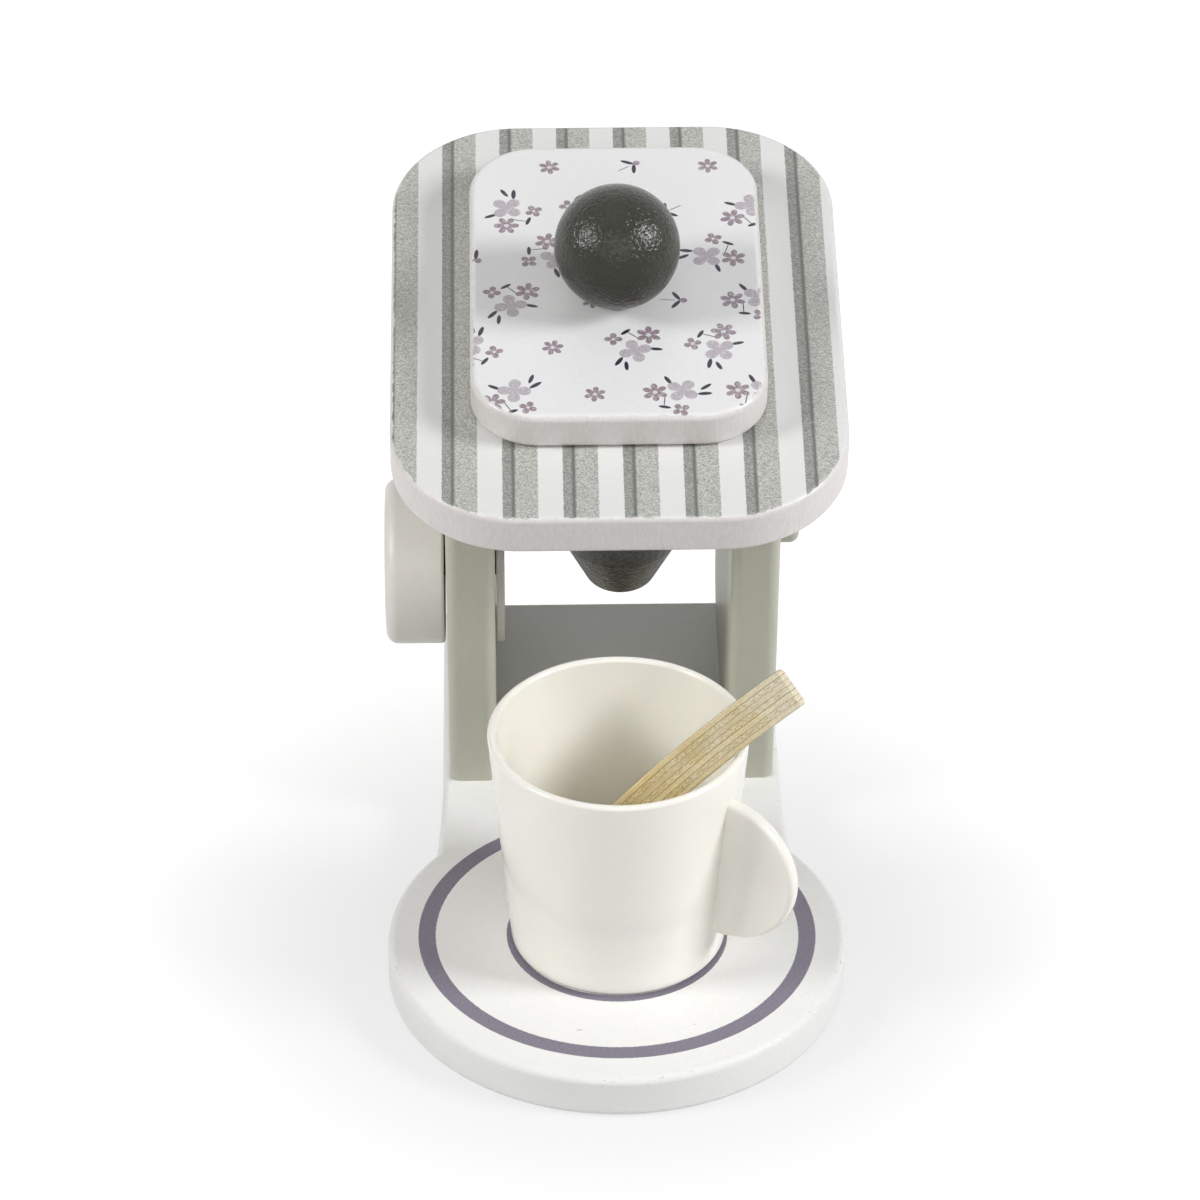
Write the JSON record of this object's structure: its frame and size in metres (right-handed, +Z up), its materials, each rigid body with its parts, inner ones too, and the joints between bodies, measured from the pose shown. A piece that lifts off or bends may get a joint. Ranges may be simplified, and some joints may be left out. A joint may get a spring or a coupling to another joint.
{
  "type": "toy coffee machine",
  "caption": "Wooden toy coffee machine: keyhole base, leaning uprights, striped head board, lift-off lid with a ball knob, filter cone, turning dial, and a cup with a stirrer",
  "frame": {"origin": "on the underside of the base board, under the centre of its round plate", "axes": "+Z up; +Y from the round plate to the back of the neck; +X to the right seen from the front, where the small button is"},
  "size_m": [0.1207, 0.2174, 0.2096],
  "materials": {
    "base_paint": "satin white paint on board",
    "upright_paint": "satin sage green paint on board",
    "head_print": "printed stripes on top, white painted edges",
    "lid_print": "printed flowers on top, white painted edges",
    "knob_paint": "dark olive grey paint, semi gloss",
    "cone_paint": "dark olive grey paint, semi gloss",
    "dial_paint": "satin white paint",
    "button_paint": "satin sage green paint",
    "cup_plastic": "smooth ivory plastic, satin",
    "stirrer_wood": "bare plywood with its plies showing",
    "dowel_wood": "bare beech",
    "screw_steel": "zinc plated steel"
  },
  "bodies": {
    "machine": {"base_board": "base_paint", "left_upright": "upright_paint", "right_upright": "upright_paint", "base_screw_left_front": "screw_steel", "base_screw_left_rear": "screw_steel", "base_screw_right_front": "screw_steel", "base_screw_right_rear": "screw_steel", "head_dowel_left_front": "dowel_wood", "head_dowel_left_rear": "dowel_wood", "head_dowel_right_front": "dowel_wood", "head_dowel_right_rear": "dowel_wood", "head_board": "head_print", "filter_cone": "cone_paint", "cone_dowel": "dowel_wood", "side_button": "button_paint", "button_dowel": "dowel_wood"},
    "lid": {"lid_board": "lid_print", "lid_plug": "dowel_wood", "lid_knob": "knob_paint", "knob_dowel": "dowel_wood"},
    "dial": {"dial_disc": "dial_paint", "dial_retainer": "dial_paint", "dial_axle": "dowel_wood"},
    "cup": {"cup": "cup_plastic"},
    "stirrer": {"stirrer": "stirrer_wood"}
  },
  "joints": [
    {"name": "lid_lift", "type": "slide", "parent": "machine", "child": "lid", "axis": [0, -0.1754, 0.9845], "range_m": [0, 0.08]},
    {"name": "dial_turn", "type": "hinge", "parent": "machine", "child": "dial", "pos_m": [-0.045, 0.10619, 0.05927], "axis": [1, 0, 0], "continuous": true},
    {"name": "cup_pull", "type": "slide", "parent": "machine", "child": "cup", "axis": [0, -1, 0], "range_m": [0, 0.12]},
    {"name": "stirrer_pull", "type": "slide", "parent": "cup", "child": "stirrer", "axis": [0.5709, -0.1266, 0.8112], "range_m": [0, 0.09]}
  ]
}
